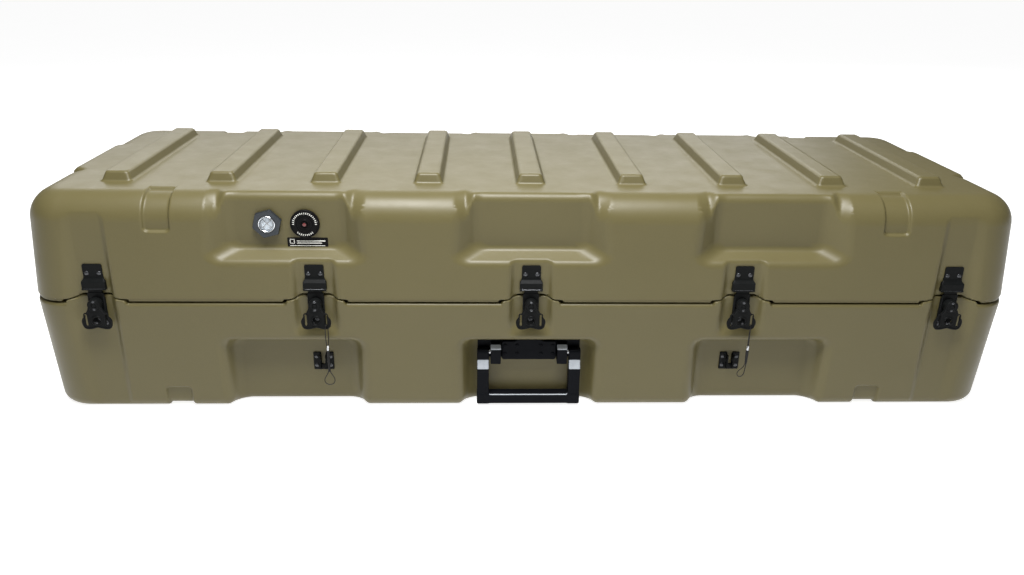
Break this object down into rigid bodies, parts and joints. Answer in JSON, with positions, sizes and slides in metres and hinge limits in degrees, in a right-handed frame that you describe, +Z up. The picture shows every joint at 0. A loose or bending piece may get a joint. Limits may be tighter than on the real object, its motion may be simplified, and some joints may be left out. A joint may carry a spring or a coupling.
{
  "type": "hard equipment case",
  "caption": "Long hard plastic equipment case with a ribbed hinged lid, turn latches along the front, recessed folding handles and a pressure valve.",
  "frame": {"origin": "on the floor, under the middle of the case", "axes": "X runs along the case's length, the latches face -Y, +Z is up"},
  "size_m": [1.6, 0.5568, 0.383],
  "materials": {
    "shell": "semi-gloss moulded polyethylene, light grain",
    "gasket": "matt rubber",
    "black_steel": "satin black powder coat",
    "rivet": "black-plated, worn bright on the heads",
    "steel": "plain steel",
    "handle": "textured blue-black nylon",
    "valve": "satin black anodised",
    "button": "dark red plastic",
    "plug": "dark slate anodised",
    "bezel": "polished",
    "window": "clear",
    "card": "printed card",
    "label": "satin black plate",
    "wire": "black coated wire rope",
    "ferrule": "crimped aluminium",
    "sleeve": "matt shrink tube"
  },
  "bodies": {
    "base": {"base_shell": "shell", "gasket": "gasket", "latch_plate_1": "black_steel", "latch_plate_2": "black_steel", "latch_plate_3": "black_steel", "latch_plate_4": "black_steel", "latch_plate_5": "black_steel", "lock_bracket_left": "black_steel", "lock_bracket_right": "black_steel", "handle_plate_front": "handle", "handle_plate_left": "handle", "handle_plate_right": "handle", "handle_pins": "steel", "hinge_base_leaf_left": "black_steel", "hinge_base_leaf_middle": "black_steel", "hinge_base_leaf_right": "black_steel", "hinge_pins": "steel", "base_rivets": "rivet"},
    "lid": {"lid_shell": "shell", "label_plate": "label", "keeper_1": "black_steel", "keeper_2": "black_steel", "keeper_3": "black_steel", "keeper_4": "black_steel", "keeper_5": "black_steel", "hinge_lid_leaf_left": "black_steel", "hinge_lid_leaf_middle": "black_steel", "hinge_lid_leaf_right": "black_steel", "lid_rivets": "rivet", "valve_body": "valve", "humidity_plug": "plug", "humidity_card": "card", "humidity_window": "window", "humidity_bezel": "bezel", "port_nuts": "steel", "port_o_rings": "gasket"},
    "wing_1": {"latch_wing_1": "black_steel"},
    "link_1": {"latch_link_1": "black_steel"},
    "wing_2": {"latch_wing_2": "black_steel"},
    "link_2": {"latch_link_2": "black_steel"},
    "wing_3": {"latch_wing_3": "black_steel"},
    "link_3": {"latch_link_3": "black_steel"},
    "wing_4": {"latch_wing_4": "black_steel"},
    "link_4": {"latch_link_4": "black_steel"},
    "wing_5": {"latch_wing_5": "black_steel"},
    "link_5": {"latch_link_5": "black_steel"},
    "lanyard_left": {"lanyard_wire_left": "wire", "lanyard_ferrule_left": "ferrule", "lanyard_sleeve_left": "sleeve"},
    "lanyard_right": {"lanyard_wire_right": "wire", "lanyard_ferrule_right": "ferrule", "lanyard_sleeve_right": "sleeve"},
    "bail_front": {"handle_bail_front": "handle"},
    "bail_left": {"handle_bail_left": "handle"},
    "bail_right": {"handle_bail_right": "handle"},
    "button": {"valve_button": "button"}
  },
  "joints": [
    {"name": "lid_hinge", "type": "hinge", "parent": "base", "child": "lid", "pos_m": [0, 0.2715, 0.19375], "axis": [-1, 0, 0], "range_deg": [0, 105]},
    {"name": "wing_turn_1", "type": "hinge", "parent": "base", "child": "wing_1", "pos_m": [-0.69, -0.2742, 0.1915], "axis": [0, 1, 0], "range_deg": [0, 180]},
    {"name": "link_slide_1", "type": "slide", "parent": "base", "child": "link_1", "axis": [0, 0, 1], "range_m": [0, 0.009]},
    {"name": "wing_turn_2", "type": "hinge", "parent": "base", "child": "wing_2", "pos_m": [-0.345, -0.2742, 0.1915], "axis": [0, 1, 0], "range_deg": [0, 180]},
    {"name": "link_slide_2", "type": "slide", "parent": "base", "child": "link_2", "axis": [0, 0, 1], "range_m": [0, 0.009]},
    {"name": "wing_turn_3", "type": "hinge", "parent": "base", "child": "wing_3", "pos_m": [0, -0.2742, 0.1915], "axis": [0, 1, 0], "range_deg": [0, 180]},
    {"name": "link_slide_3", "type": "slide", "parent": "base", "child": "link_3", "axis": [0, 0, 1], "range_m": [0, 0.009]},
    {"name": "wing_turn_4", "type": "hinge", "parent": "base", "child": "wing_4", "pos_m": [0.345, -0.2742, 0.1915], "axis": [0, 1, 0], "range_deg": [0, 180]},
    {"name": "link_slide_4", "type": "slide", "parent": "base", "child": "link_4", "axis": [0, 0, 1], "range_m": [0, 0.009]},
    {"name": "wing_turn_5", "type": "hinge", "parent": "base", "child": "wing_5", "pos_m": [0.69, -0.2742, 0.1915], "axis": [0, 1, 0], "range_deg": [0, 180]},
    {"name": "link_slide_5", "type": "slide", "parent": "base", "child": "link_5", "axis": [0, 0, 1], "range_m": [0, 0.009]},
    {"name": "lanyard_swing_left", "type": "hinge", "parent": "wing_2", "child": "lanyard_left", "pos_m": [-0.329, -0.2756, 0.158], "axis": [0, 1, 0], "range_deg": [-180, 0]},
    {"name": "lanyard_swing_right", "type": "hinge", "parent": "wing_4", "child": "lanyard_right", "pos_m": [0.361, -0.2756, 0.158], "axis": [0, 1, 0], "range_deg": [-180, 0]},
    {"name": "handle_fold_front", "type": "hinge", "parent": "base", "child": "bail_front", "pos_m": [0, -0.248, 0.097], "axis": [-1, 0, 0], "range_deg": [0, 90]},
    {"name": "handle_fold_left", "type": "hinge", "parent": "base", "child": "bail_left", "pos_m": [-0.778, 0, 0.097], "axis": [0, 1, 0], "range_deg": [0, 90]},
    {"name": "handle_fold_right", "type": "hinge", "parent": "base", "child": "bail_right", "pos_m": [0.778, 0, 0.097], "axis": [0, -1, 0], "range_deg": [0, 90]},
    {"name": "valve_button_press", "type": "slide", "parent": "lid", "child": "button", "axis": [0, 1, 0], "range_m": [0, 0.0025], "stiffness_N_per_m": 400, "springref_m": -0.001}
  ],
  "couplings": [
    {"joint": "link_slide_1", "follows": "wing_turn_1", "m_per_rad": 0.00286},
    {"joint": "link_slide_2", "follows": "wing_turn_2", "m_per_rad": 0.00286},
    {"joint": "link_slide_3", "follows": "wing_turn_3", "m_per_rad": 0.00286},
    {"joint": "link_slide_4", "follows": "wing_turn_4", "m_per_rad": 0.00286},
    {"joint": "link_slide_5", "follows": "wing_turn_5", "m_per_rad": 0.00286},
    {"joint": "lanyard_swing_left", "follows": "wing_turn_2", "ratio": -1},
    {"joint": "lanyard_swing_right", "follows": "wing_turn_4", "ratio": -1}
  ]
}
